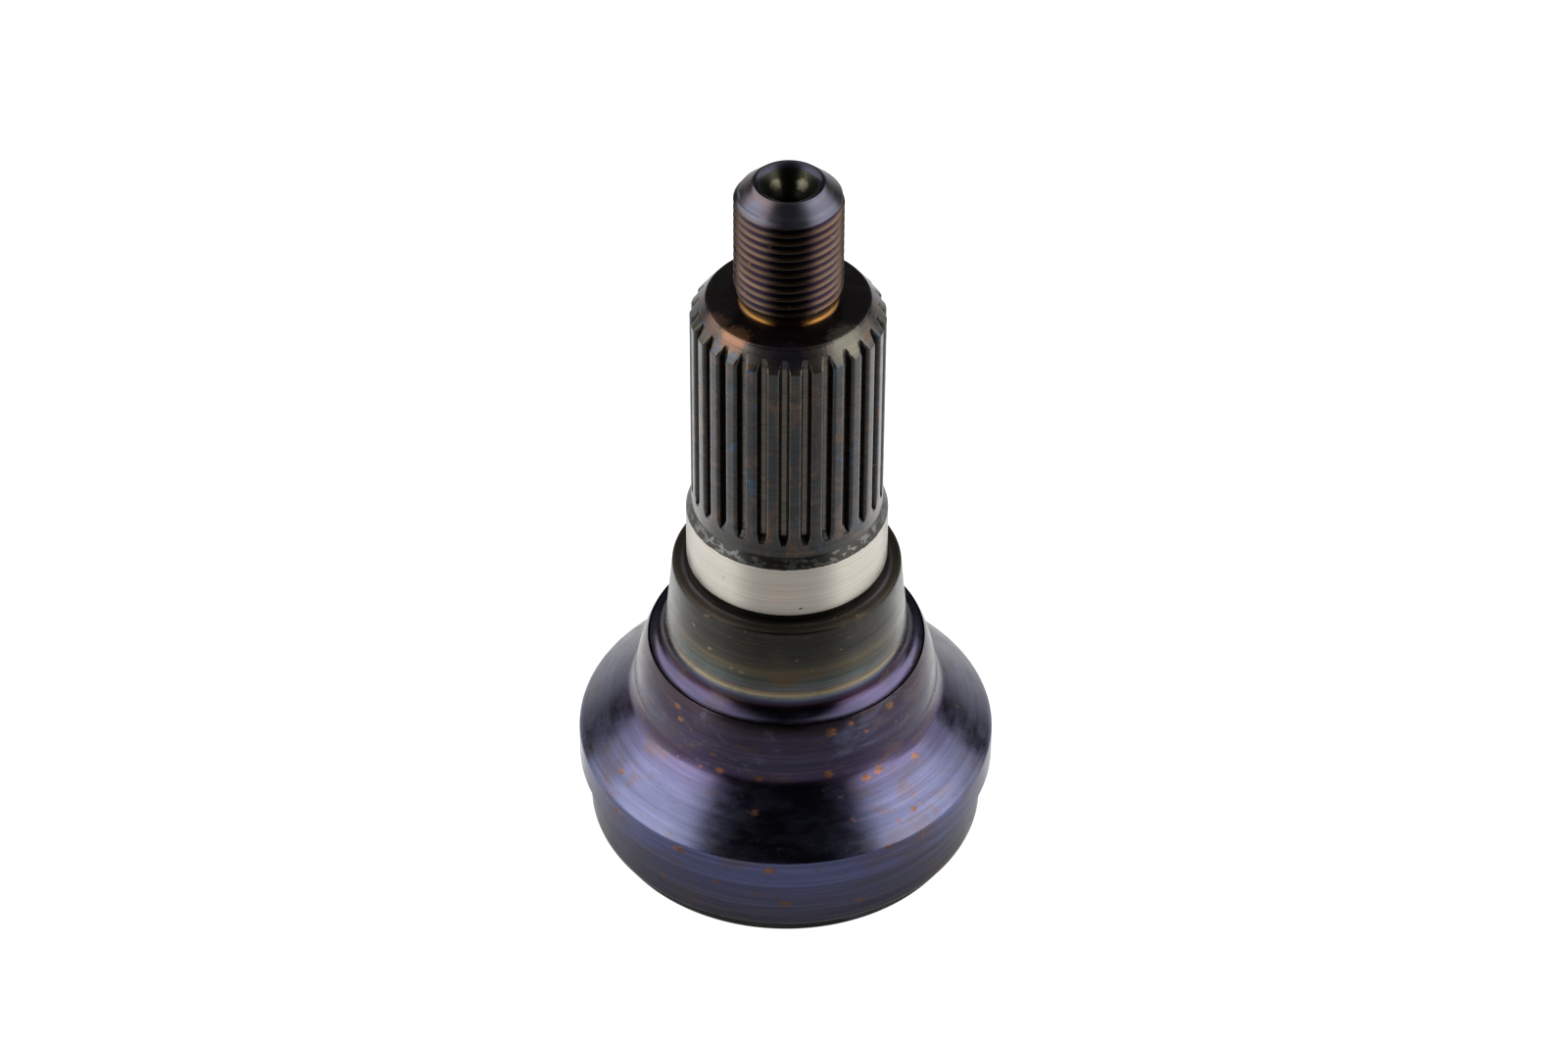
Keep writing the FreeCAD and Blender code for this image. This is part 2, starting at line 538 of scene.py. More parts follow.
    def specks(self, bench: Bench) -> Wire:
        """Where specks and rust spots are.

        Args:
            bench: the material in the making.

        Returns:
            How strongly they show, from 0 to 1.
        """
        speck = bench.noise(0.55, 0.7, detail=3.0, rough=0.6, shift=41.0 + self.seed)
        speck = speck.rise(0.66, 0.73) * self.speck_share
        if self.rust:
            speck = speck.larger(bench.spots(self.rust) * self.rust_share)
        return speck

    def dullness(self, bench: Bench, speck: Wire) -> Wire:
        """Roughness of the skin.

        Args:
            bench: the material in the making.
            speck: where specks and rust spots are.

        Returns:
            The roughness.
        """
        low, high = self.roughness
        rough = bench.noise(0.2, 0.5, detail=3.0, rough=0.6, shift=51.0 + self.seed)
        roughness = rough.rise(*bench.ramp_ends) * (high - low) + low + speck * self.speck_rough
        for low, high, more in self.dull:
            above = bench.z.rise(low - self.dull_fade, low)
            below = bench.z.rise(high + self.dull_fade, high)
            roughness = roughness + above * below * more
        return roughness

    def make(self) -> bpy.types.Material:
        """Builds the material.

        Returns:
            The material.
        """
        bench = Bench(self.name)
        speck = self.specks(bench)
        fresh = bench.noise(0.5, 0.8, detail=2.0, rough=0.6, shift=81.0 + self.seed)
        rust = bench.mix(fresh.rise(0.42, 0.58), self.speck_dark, self.speck)
        colour = bench.mix(speck, self.skin(bench), rust)
        bench.grain(self.stretch, self.edge)
        return bench.finish(colour, self.dullness(bench, speck), self.metallic,
                            self.tool_marks(bench), self.depth)


@dataclass(frozen=True)
class GroundSteel:
    """Bright ground steel with fine lines round it, dark outside its ground length.

    Attributes:
        name: the material's name.
        tone: colour.
        skin: colour of the dark skin above and below.
        flake: colour of the bare flakes in that skin.
        ground: lowest and highest height of the ground length, in mm.
        roughness: lowest and highest roughness.
        depth: depth of the lines in mm.
        stretch: how far reflections are drawn out along the shaft.
        brown: (colour, share) of the faint brown clouds.
        pink_reflection: (patch, how ragged) of the painted pink reflection tint at the front of
            the journal.
        pit: the small dark pit.
        dirt: colour of the pit and of the specks.
        edge: tint of the reflections at a grazing angle.
    """

    name: str
    tone: Colour = (0.24, 0.226, 0.2)
    skin: Colour = (0.022, 0.021, 0.019)
    flake: Colour = (0.075, 0.075, 0.07)
    ground: tuple[float, float] = (52.05, 60.85)
    roughness: tuple[float, float] = (0.28, 0.36)
    depth: float = 0.0012
    stretch: float = 0.6
    brown: tuple[Colour, float] = ((0.25, 0.19, 0.17), 0.14)
    pink_reflection: tuple[StainAndSheen, float] = (StainAndSheen(Spot(-3.0, 15.0, 56.0, 3.0), (0.3, 0.2, 0.17), 0.22), 0.5)
    pit: Spot = Spot(8.0, 15.0, 53.3, 0.22)
    dirt: Colour = (0.03, 0.025, 0.02)
    edge: Colour = (0.75, 0.75, 0.75)

    def bare(self, bench: Bench, lines: Wire) -> bpy.types.NodeSocket:
        """The ground steel with its clouds, painted pink reflection tint, specks and pit.

        Args:
            bench: the material in the making.
            lines: the fine lines round it.

        Returns:
            A colour socket.
        """
        coarse = bench.noise(0.012, 2.2, detail=3.0, rough=0.6, shift=13.0)
        coarse = bench.shades(coarse, grey(0.9), grey(1.1))
        fine = bench.shades(lines, grey(0.9), (1.1, 1.095, 1.08))
        colour = bench.mix(1.0, self.tone, coarse, Blend.TINT)
        colour = bench.mix(1.0, colour, fine, Blend.TINT)
        cloud = bench.noise(0.12, 0.2, detail=4.0, rough=0.6, shift=8.0).rise(0.5, 0.68)
        brown, share = self.brown
        colour = bench.mix(cloud * share, colour, brown)
        # painted reflection: a pink tint at the front of the journal
        stain_and_sheen, ragged = self.pink_reflection
        colour = bench.mix(bench.spots((stain_and_sheen.spot,), ragged) * stain_and_sheen.share, colour, stain_and_sheen.colour)
        speck = bench.noise(0.9, 1.2, detail=2.0, rough=0.5, shift=15.0).rise(0.75, 0.79) * 0.7
        return bench.mix(speck.larger(bench.spots((self.pit,))), colour, self.dirt)

    def unground(self, bench: Bench) -> tuple[Wire, bpy.types.NodeSocket]:
        """The dark skin outside the ground length, with bare flakes above it.

        Args:
            bench: the material in the making.

        Returns:
            Where the skin is, and its colour.
        """
        low, high = self.ground
        ragged = (bench.noise(0.6, 1.5, detail=3.0, rough=0.7, shift=33.0) - 0.5) * 0.5
        dark = (bench.z + ragged).rise(high - 0.06, high + 0.04)
        dark = dark.larger(bench.z.rise(low + 0.02, low - 0.05))
        flake = bench.noise(0.75, 1.3, detail=2.0, rough=0.55, shift=44.0).rise(0.5, 0.58)
        flake = flake * bench.z.rise(high, high + 0.35) * bench.z.rise(high + 1.75, high + 1.4)
        return dark, bench.mix(flake * 0.8, self.skin, self.flake)

    def make(self) -> bpy.types.Material:
        """Builds the material.

        Returns:
            The material.
        """
        bench = Bench(self.name)
        lines = bench.noise(0.012, 8.0, detail=4.0, rough=0.75, shift=3.0)
        dark, skin = self.unground(bench)
        colour = bench.mix(dark, self.bare(bench, lines), skin)
        low, high = self.roughness
        rough = bench.noise(0.3, 2.5, detail=2.0, rough=0.5, shift=27.0)
        roughness = rough.rise(*bench.ramp_ends) * (high - low) + low
        bench.grain(self.stretch, self.edge)
        return bench.finish(colour, roughness, height=lines, depth=self.depth)


SEAT_RUST = (Spot(0, 30.1, 7.4, 0.8), Spot(-20, 30.1, 10.0, 0.6), Spot(3, 30.1, 11.3, 0.6),
             Spot(-38, 30.1, 7.0, 0.6), Spot(22, 30.1, 6.2, 0.7))
BODY_RUST = (Spot(-48, 21.7, 33.5, 0.6), Spot(-45, 22.3, 31.9, 0.6), Spot(18, 21.6, 33.8, 0.9),
             Spot(27, 21.4, 34.3, 0.45), Spot(33, 22.1, 32.3, 0.5), Spot(46, 21.45, 34.2, 0.8),
             Spot(52, 24.9, 24.2, 0.7), Spot(36, 23.9, 25.15, 0.8), Spot(30, 24.1, 24.9, 0.7),
             Spot(16, 23.05, 26.8, 0.8), Spot(-10, 23.1, 26.5, 0.7), Spot(-25, 23.1, 26.3, 0.7),
             Spot(-33, 23.1, 25.9, 0.5), Spot(-28, 22.8, 28.9, 0.5), Spot(-10, 26.6, 22.5, 0.8),
             Spot(-59, 28.85, 20.2, 0.6), Spot(41, 29.3, 19.7, 0.6), Spot(-4, 31.75, 15.9, 1.0),
             Spot(-30, 31.75, 16.1, 1.1), Spot(-53, 31.75, 16.0, 0.8), Spot(40, 31.75, 16.4, 0.9),
             Spot(29, 31.75, 17.2, 0.6), Spot(112, 31.75, 15.2, 0.9), Spot(150, 26.9, 22.1, 0.8),
             Spot(-165, 22.9, 28.6, 0.7), Spot(-128, 29.2, 19.8, 0.7), Spot(-98, 22.0, 33.0, 0.6),
             Spot(175, 31.75, 16.2, 1.0), Spot(98, 24.6, 24.4, 0.6), Spot(-150, 31.75, 14.6, 0.8))
COLLAR_RUST = (Spot(-52, 17.5, 46.5, 0.4), Spot(-40, 17.7, 44.2, 0.45),
               Spot(-22, 17.9, 42.2, 0.5), Spot(-27, 17.9, 42.4, 0.4))
RIM_BLUE: Colour = (0.04, 0.043, 0.088)
RUST: Colour = (0.12, 0.05, 0.02)
SEAT_SKIN = HeatTint("seat_skin", (
    (0.0, (0.007, 0.007, 0.008)), (2.6, (0.008, 0.008, 0.009)), (3.3, (0.022, 0.021, 0.028)),
    (6.0, (0.03, 0.029, 0.046)), (10.0, (0.033, 0.033, 0.064)), (17.3, RIM_BLUE)),
    wander=1.0, patch=(0.03, 0.032, 0.034), patch_share=0.6, rust=SEAT_RUST,
    roughness=(0.26, 0.36), dull=((0.0, 2.9, 0.6),), seed=1.0)
BODY_SKIN = HeatTint("body_skin", (
    (12.5, RIM_BLUE), (17.0, RIM_BLUE), (17.6, (0.042, 0.044, 0.072)),
    (22.0, (0.041, 0.042, 0.073)), (24.6, (0.038, 0.034, 0.062)), (26.5, (0.023, 0.016, 0.031)),
    (28.5, (0.021, 0.018, 0.032)), (33.0, (0.02, 0.016, 0.026)), (35.4, (0.021, 0.015, 0.018))),
    wander=0.7, patch=(0.042, 0.05, 0.082), patch_share=0.4, speck=RUST, rust=BODY_RUST,
    depth=0.0018, seed=2.0)
COLLAR_SKIN = HeatTint("collar_skin", (
    (35.4, (0.028, 0.025, 0.044)), (36.1, (0.03, 0.026, 0.046)), (36.6, (0.018, 0.01, 0.018)),
    (37.2, (0.013, 0.008, 0.013)), (37.6, (0.02, 0.018, 0.034)), (38.1, (0.045, 0.05, 0.075)),
    (38.5, (0.09, 0.083, 0.072)), (38.85, (0.125, 0.105, 0.064)), (39.25, (0.088, 0.072, 0.047)),
    (39.7, (0.046, 0.038, 0.038)), (40.2, (0.043, 0.05, 0.051)), (40.8, (0.03, 0.036, 0.033)),
    (41.8, (0.029, 0.03, 0.025)), (43.0, (0.041, 0.034, 0.023)), (44.0, (0.024, 0.022, 0.018)),
    (46.0, (0.015, 0.0148, 0.0135)), (50.0, (0.014, 0.013, 0.0115)),
    # painted highlight: the lighter violet-grey at the top of the lip adds to the lip's own
    # reflection; the dim brown at 50.3 on the outer edge round is painted shade that dims its
    # highlight
    (50.3, (0.014, 0.0115, 0.009)), (50.54, (0.019, 0.0155, 0.012)),
    (50.6, (0.035, 0.031, 0.034))),
    wander=0.12, blotch=(0.03, 0.024, 0.017), blotch_share=0.4,
    stains_and_sheens=(StainAndSheen(Spot(-1, 18.0, 41.7, 2.2), (0.042, 0.03, 0.019)),
            StainAndSheen(Spot(14, 17.9, 42.4, 1.6), (0.04, 0.03, 0.02), 0.6)),
    speck=(0.09, 0.075, 0.05), rust=COLLAR_RUST, dull=((50.35, 52.0, 0.3),), seed=3.0)
JOURNAL_STEEL = GroundSteel("journal_steel")
SPLINE_SKIN = HeatTint("spline_skin", (
    (62.6, (0.013, 0.013, 0.0125)), (64.8, (0.014, 0.014, 0.0135)),
    (67.0, (0.018, 0.018, 0.0165)), (80.0, (0.0125, 0.0135, 0.0145)),
    (96.6, (0.017, 0.017, 0.0155)), (97.4, (0.032, 0.029, 0.022)),
    (99.3, (0.028, 0.023, 0.022)), (99.64, (0.004, 0.0025, 0.0025))),
    blotch=(0.045, 0.025, 0.014), blotch_share=0.8, blotch_cells=(0.4, 0.2),
    patch=(0.012, 0.028, 0.05), patch_share=0.75, speck=(0.07, 0.055, 0.04), metallic=0.75,
    stains_and_sheens=(StainAndSheen(Spot(-40, 12.0, 99.4, 2.6), (0.085, 0.04, 0.02)),
            StainAndSheen(Spot(-62, 12.0, 99.4, 2.2), (0.07, 0.035, 0.02), 0.6),
            StainAndSheen(Spot(43, 12.3, 99.0, 3.2), (0.045, 0.043, 0.031)),
            StainAndSheen(Spot(0, 12.7, 98.6, 3.0), (0.009, 0.008, 0.014))),
    recesses=(Recess((65.0, 96.8), (14.08, 13.8), (0.016, 0.0135, 0.011)),
              Recess((66.0, 96.8), (13.12, 12.98), (0.05, 0.042, 0.033)),
              Recess((99.62, 101.0), (12.1, 11.9), (0.004, 0.0025, 0.0025))),
    marks=Marks.CUT, depth=0.0015, stretch=0.0, wander=0.1, seed=4.0)
THREAD_SKIN = HeatTint("thread_skin", (
    (99.7, (0.02, 0.01, 0.006)), (99.85, (0.12, 0.055, 0.012)), (100.3, (0.13, 0.065, 0.018)),
    (100.8, (0.03, 0.02, 0.014)), (103.0, (0.036, 0.023, 0.016)), (117.5, (0.034, 0.021, 0.013)),
    (118.0, (0.036, 0.036, 0.048)), (120.3, (0.036, 0.036, 0.048))),
    blotch=(0.045, 0.024, 0.013), metallic=0.95, roughness=(0.26, 0.36), wander=0.1,
    # a near-black patch at the front of the relief; the two lighter patches in the centre hole are
    # painted glints
    stains_and_sheens=(StainAndSheen(Spot(0, 7.0, 100.1, 2.6), (0.006, 0.002, 0.002)),
            StainAndSheen(Spot(-142, 3.1, 117.9, 1.2), (0.075, 0.07, 0.045)),
            StainAndSheen(Spot(142, 3.1, 117.9, 1.2), (0.11, 0.1, 0.07))),
    # painted shade: the thread grooves are painted darker than the crests
    recesses=(Recess((101.7, 117.8), (7.75, 7.35), (0.007, 0.0045, 0.009)),
              Recess((110.0, 121.0), (5.2, 5.0), (0.014, 0.013, 0.019)),
              Recess((110.0, 119.7), (4.2, 4.0), (0.012, 0.0125, 0.008)),
              # painted shade: the bottom of the centre hole is painted near-black
              Recess((110.0, 116.5), (2.3, 1.9), (0.004, 0.005, 0.003))),
    seed=5.0)


# --- Turned and cut shapes ----------------------------------------------------

@dataclass(frozen=True)
class Corner:
    """A corner of a half section.

    Attributes:
        radius: distance from the axis in mm.
        height: height in mm.
        round: how much of both sides the corner's round takes, in mm.
        steps: facets of the round.
    """

    radius: float
    height: float
    round: float = 0.0
    steps: int = 5


class Turning:
    """A mesh in mm that is turned about the shaft axis."""

    def __init__(self) -> None:
        """Starts an empty mesh."""
        self.mesh = bmesh.new()

    def outline(self, corners: Sequence[Corner], closed: bool, spacing: float = 0.8) -> None:
        """Draws a half section and rounds its corners.

        Args:
            corners: the corners in order.
            closed: whether the last corner joins the first.
            spacing: the longest edge that is left undivided.
        """
        verts = [self.mesh.verts.new((c.radius, 0.0, c.height)) for c in corners]
        pairs = list(zip(verts, verts[1:]))
        if closed:
            pairs.append((verts[-1], verts[0]))
        for pair in pairs:
            self.mesh.edges.new(pair)
        for corner, vert in zip(corners, verts):
            if corner.round > 0:
                bmesh.ops.bevel(self.mesh, geom=[vert], offset=corner.round,
                                offset_type="OFFSET", segments=corner.steps, profile=0.5,
                                affect="VERTICES", material=-1, clamp_overlap=False)
        for edge in list(self.mesh.edges):
            cuts = int(edge.calc_length() / spacing)
            if cuts:
                bmesh.ops.subdivide_edges(self.mesh, edges=[edge], cuts=cuts)

    def spin(self, steps: int) -> None:
        """Turns the outline full circle.

        Args:
            steps: facets round the shaft.
        """
        bmesh.ops.spin(self.mesh, geom=self.mesh.verts[:] + self.mesh.edges[:],
                       cent=(0, 0, 0), axis=(0, 0, 1), dvec=(0, 0, 0), angle=2 * math.pi,
                       steps=steps, use_merge=True, use_duplicate=False)

    def everything(self) -> list[Any]:
        """Every vertex, edge and face."""
        return self.mesh.verts[:] + self.mesh.edges[:] + self.mesh.faces[:]

    def rim(self, top: bool) -> list[bmesh.types.BMEdge]:
        """The open edges at the top or at the bottom.

        Args:
            top: whether the top ones are wanted.

        Returns:
            The edges of that opening.
        """
        edges = [e for e in self.mesh.edges if e.is_boundary]
        heights = [v.co.z for e in edges for v in e.verts]
        middle = (min(heights) + max(heights)) / 2
        return [e for e in edges if (e.verts[0].co.z > middle) == top]

    def grow(self, edges: list[bmesh.types.BMEdge], stations: Sequence[tuple[float, float]],
             spacing: float = 0.6) -> None:
        """Extrudes an opening along (radius, height) stations and closes it on the axis.

        Args:
            edges: the opening.
            stations: where its ring goes next. A radius of 0 ends in a pole.
            spacing: the longest step.
        """
        start = edges[0].verts[0].co
        last = (math.hypot(start.x, start.y), start.z)
        for station in stations:
            length = math.dist(last, station)
            steps = max(1, int(length / spacing))
            for i in range(1, steps + 1):
                radius = last[0] + (station[0] - last[0]) * i / steps
                height = last[1] + (station[1] - last[1]) * i / steps
                made = bmesh.ops.extrude_edge_only(self.mesh, edges=edges)["geom"]
                edges = [g for g in made if isinstance(g, bmesh.types.BMEdge) and g.is_boundary]
                for vert in {v for e in edges for v in e.verts}:
                    flat = math.hypot(vert.co.x, vert.co.y)
                    factor = radius / flat if flat > 1e-9 else 0.0
                    vert.co = (vert.co.x * factor, vert.co.y * factor, height)
            last = station

    def place(self, name: str, material: bpy.types.Material,
              sharp: float = 34.0) -> bpy.types.Object:
        """Closes the mesh and puts it in the scene, in metres.

        Args:
            name: the piece's name.
            material: its material.
            sharp: edges that turn by more than this, in degrees, stay sharp.

        Returns:
            The piece.
        """
        mesh = self.mesh
        bmesh.ops.remove_doubles(mesh, verts=mesh.verts[:], dist=1e-4)
        bmesh.ops.dissolve_degenerate(mesh, edges=mesh.edges[:], dist=1e-5)
        bmesh.ops.recalc_face_normals(mesh, faces=mesh.faces[:])
        bmesh.ops.scale(mesh, vec=(MM, MM, MM), verts=mesh.verts[:])
        for face in mesh.faces:
            face.smooth = True
        data = bpy.data.meshes.new(name)
        mesh.to_mesh(data)
        mesh.free()
        data.set_sharp_from_angle(angle=math.radians(sharp))
        data.materials.append(material)
        piece = bpy.data.objects.new(name, data)
        bpy.context.scene.collection.objects.link(piece)
        return piece


def mount(piece: bpy.types.Object, node: str) -> None:
    """Puts a piece in place of a CAD node.

    Args:
        piece: the piece.
        node: the CAD node that it stands for.
    """
    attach(piece, "root")
    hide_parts(node)
    LOG.info("%s: %d faces in place of %s", piece.name, len(piece.data.polygons), node)


@dataclass
class TubeSeat:
    """The cylinder that goes into the tube, with the mouth of the hollow."""

    radius: float = 30.1
    height: float = 12.5
    lead_depth: float = 1.9
    lead_length: float = 3.15
    hollow_mouth: float = 22.5
    hollow_low: float = 21.38
    hollow_high: float = 19.97
    edge_round: float = 0.35
    steps: int = 256

    def build(self) -> bpy.types.Object:
        """Turns the seat.

        Returns:
            The piece.
        """
        turning = Turning()
        turning.outline((
            Corner(self.hollow_mouth, 0.0, 0.2, 3),
            Corner(self.radius - self.lead_depth, 0.0, 0.3, 3),
            Corner(self.radius, self.lead_length, self.edge_round, 3),
            Corner(self.radius, self.height),
            Corner(self.hollow_high, self.height),
            Corner(self.hollow_low, 1.0, 0.3, 3),
        ), True)
        turning.spin(self.steps)
        piece = turning.place("seat_turning", SEAT_SKIN.make())
        mount(piece, "tube_seat")
        return piece


@dataclass
class FlaredBody:
    """Rim, cone and neck, up to the sharp crest."""

    centre_hole: tuple[tuple[float, float], ...] = ((0.0, 26.1), (1.25, 25.03), (3.0, 22.0))
    seat_top: float = 12.5
    rim_radius: float = 31.75
    rim_top: float = 17.3
    corner: tuple[float, float] = (23.118, 25.932)
    corner_reach: float = 1.496
    neck_radius: float = 22.985
    neck_foot: float = 27.832
    bulge: tuple[float, float] = (22.707, 31.813)
    bulge_share: float = 0.98
    crest_radius: float = 20.985
    crest_height: float = 35.4
    hollow_radius: float = 19.97
    hollow_top: float = 22.0
    hollow_narrow: float = 18.8
    steps: int = 256

    def build(self) -> bpy.types.Object:
        """Turns the body.

        Returns:
            The piece.
        """
        half_chord = math.dist((self.neck_radius, self.neck_foot),
                               (self.crest_radius, self.crest_height)) / 2
        turning = Turning()
        turning.outline((
            *(Corner(radius, height) for radius, height in self.centre_hole),
            Corner(self.hollow_narrow, self.hollow_top, 4.2, 8),
            Corner(self.hollow_radius, self.seat_top),
            Corner(self.rim_radius, self.seat_top),
            Corner(self.rim_radius, self.rim_top, 0.25, 3),
            Corner(*self.corner, self.corner_reach, 12),
            Corner(self.neck_radius, self.neck_foot),
            Corner(*self.bulge, half_chord * self.bulge_share, 14),
            Corner(self.crest_radius, self.crest_height),
            Corner(0.0, self.crest_height),
        ), False)
        turning.spin(self.steps)
        piece = turning.place("body_turning", BODY_SKIN.make())
        mount(piece, "flared_body")
        return piece


@dataclass
class StopCollar:
    """The collar that the bearing stops against, with the groove at its foot."""

    crest_radius: float = 20.985
    crest_height: float = 35.4
    foot: tuple[float, float] = (18.526, 35.27)
    foot_reach: float = 2.462
    foot_share: float = 0.995
    radius: float = 17.14
    top: float = 50.5
    edge_round: float = 0.5
    lip_radius: float = 15.5
    lip_width: float = 0.5
    lip_height: float = 0.1
    steps: int = 256

    def build(self) -> bpy.types.Object:
        """Turns the collar.

        Returns:
            The piece.
        """
        turning = Turning()
        turning.outline((
            Corner(0.0, self.crest_height),
            Corner(self.crest_radius, self.crest_height),
            Corner(*self.foot, self.foot_reach * self.foot_share, 16),
            Corner(self.radius, self.top, self.edge_round, 4),
            Corner(self.lip_radius + self.lip_width, self.top, 0.12, 3),
            Corner(self.lip_radius, self.top + self.lip_height, 0.1, 3),
            Corner(self.lip_radius - self.lip_width, self.top, 0.05, 2),
            Corner(0.0, self.top),
        ), False)
        turning.spin(self.steps)
        piece = turning.place("collar_turning", COLLAR_SKIN.make())
        mount(piece, "stop_collar")
        return piece


@dataclass
class BearingJournal:
    """The ground seat of the bearing."""

    foot: float = 50.5
    relief_radius: float = 14.55
    relief_top: float = 51.6
    low: float = 52.05
    radius: float = 15.0
    high: float = 60.85
    land_radius: float = 14.2
    top: float = 62.6
    steps: int = 256

    def build(self) -> bpy.types.Object:
        """Turns the journal.

        Returns:
            The piece.
        """
        turning = Turning()
        turning.outline((
            Corner(0.0, self.foot),
            Corner(self.relief_radius, self.foot),
            Corner(self.relief_radius, self.relief_top, 0.2, 3),
            Corner(self.radius, self.low, 0.08, 2),
            Corner(self.radius, self.high, 0.12, 2),
            Corner(self.land_radius, self.top),
            Corner(0.0, self.top),
        ), False, 0.5)
        turning.spin(self.steps)
        piece = turning.place("journal_turning", JOURNAL_STEEL.make(), 12.0)
        mount(piece, "bearing_journal")
        return piece


@dataclass
class SplineSection:
    """Plain land, teeth with run-outs, end chamfer and end face."""

    teeth: int = 27
    foot: float = 62.6
    groove_foot: float = 64.8
    end: float = 99.7
    radius: float = 14.2
    root: float = 12.9
    groove_width: float = 1.5
    floor_width: float = 0.66
    clearance: float = 0.45
    chamfer_length: float = 3.0
    chamfer_depth: float = 2.3
    edge_round: float = 0.38
    phase: float = -2.1
    run_out: float = 1.69
    run_out_rows: int = 12
    tooth_rows: int = 30
    chamfer_rows: int = 16

    def crown(self, height: float) -> float:
        """Radius of the blank at a height in mm."""
        over = height - (self.end - self.chamfer_length)
        return self.radius - max(0.0, over) * self.chamfer_depth / self.chamfer_length

    def across(self, height: float) -> list[tuple[float, float]]:
        """Section of one pitch.

        Args:
            height: the height in mm.

        Returns:
            (angle, radius) pairs from the middle of a groove to the middle of the next tooth.
        """
        depth = self.radius - self.root
        reach = depth + self.clearance
        swing_foot = math.sqrt(reach ** 2 - self.clearance ** 2)
        centre = self.root + reach
        crown = self.crown(height)
        lift = min(max(0.0, self.groove_foot + swing_foot - height), swing_foot)
        floor = min(centre - math.sqrt(reach ** 2 - lift ** 2), crown)
        half_floor = self.floor_width / 2
        # the flank leans out by this much for each mm above the floor of the cutter
        lean = (self.groove_width - self.floor_width) / 2 / depth
        swing = math.sqrt(max(0.0, (centre - crown) ** 2 + lift ** 2))
        half_top = half_floor + max(0.0, reach - swing) * lean
        if floor >= crown - 1e-6:
            half_top = half_floor
        rise = crown - floor
        ease = min(self.edge_round, rise * 0.4)
        slant = (half_top - half_floor) / rise if rise > 1e-6 else 0.0
        pitch = math.pi / self.teeth
        points = [(0.0, floor), (half_floor * 0.5, floor), (half_floor, floor)]
        for share in (0.25, 0.6):
            points.append((half_floor + slant * rise * share, floor + rise * share))
        points.append((half_top - slant * ease, crown - ease))
        flank = len(points) + 1
        points.append((half_top + ease * 0.12, crown - ease * 0.45))
        points.append((half_top + ease * 0.42, crown - ease * 0.12))
        points.append((half_top + ease, crown))
        # the last points are radii on the round and the crown, the others lie on flat faces
        section = [(math.atan2(x, y), math.hypot(x, y) if i < flank else y)
                   for i, (x, y) in enumerate(points)]
        last = section[-1][0]
        for share in (0.35, 0.7, 1.0):
            section.append((last + (pitch - last) * share, crown))
        return section

    def heights(self) -> list[float]:
        """Heights of the rows, closer where the surface turns."""
        rows = [self.foot, self.foot + 0.8, self.groove_foot - 0.5]
        for i in range(self.run_out_rows + 1):
            swing = math.cos(math.pi / 2 * i / self.run_out_rows)
            rows.append(self.groove_foot + self.run_out * (1 - swing))
        low = rows[-1]
        chamfer = self.end - self.chamfer_length
        step = (chamfer - 0.15 - low) / self.tooth_rows
        rows += [low + step * i for i in range(1, self.tooth_rows + 1)]
        rows += [chamfer - 0.05, chamfer + 0.05]
        step = (self.chamfer_length - 0.12) / self.chamfer_rows
        rows += [chamfer + step * i for i in range(1, self.chamfer_rows + 1)]
        return rows + [self.end - 0.05]

    def build(self) -> bpy.types.Object:
        """Shapes half a pitch, mirrors it and repeats it round the shaft.

        Returns:
            The piece.
        """
        rows = self.heights()
        columns = len(self.across(rows[0]))
        turning = Turning()
        mesh = turning.mesh
        bmesh.ops.create_grid(mesh, x_segments=columns - 1, y_segments=len(rows) - 1, size=0.5)
        sections = [self.across(height) for height in rows]
        for vert in mesh.verts:
            column = round((vert.co.x + 0.5) * (columns - 1))
            row = round((vert.co.y + 0.5) * (len(rows) - 1))
            angle, radius = sections[row][column]
            turn = angle - math.pi / 2 + math.radians(self.phase)
            vert.co = (radius * math.cos(turn), radius * math.sin(turn), rows[row])
        plane = Matrix.Rotation(math.radians(self.phase), 4, "Z")
        bmesh.ops.transform(mesh, matrix=plane.inverted(), verts=mesh.verts[:])
        bmesh.ops.mirror(mesh, geom=turning.everything(), axis="X", merge_dist=1e-5)
        bmesh.ops.transform(mesh, matrix=plane, verts=mesh.verts[:])
        bmesh.ops.spin(mesh, geom=turning.everything(),
                       cent=(0, 0, 0), axis=(0, 0, 1), dvec=(0, 0, 0), angle=2 * math.pi,
                       steps=self.teeth, use_merge=False, use_duplicate=True)
        bmesh.ops.remove_doubles(mesh, verts=mesh.verts[:], dist=1e-3)
        turning.grow(turning.rim(True), ((self.radius - self.chamfer_depth - 0.06, self.end),
                                         (0.0, self.end)))
        turning.grow(turning.rim(False), ((0.0, self.foot),), 3.0)
        piece = turning.place("spline_cutting", SPLINE_SKIN.make())
        mount(piece, "spline_section")
        return piece


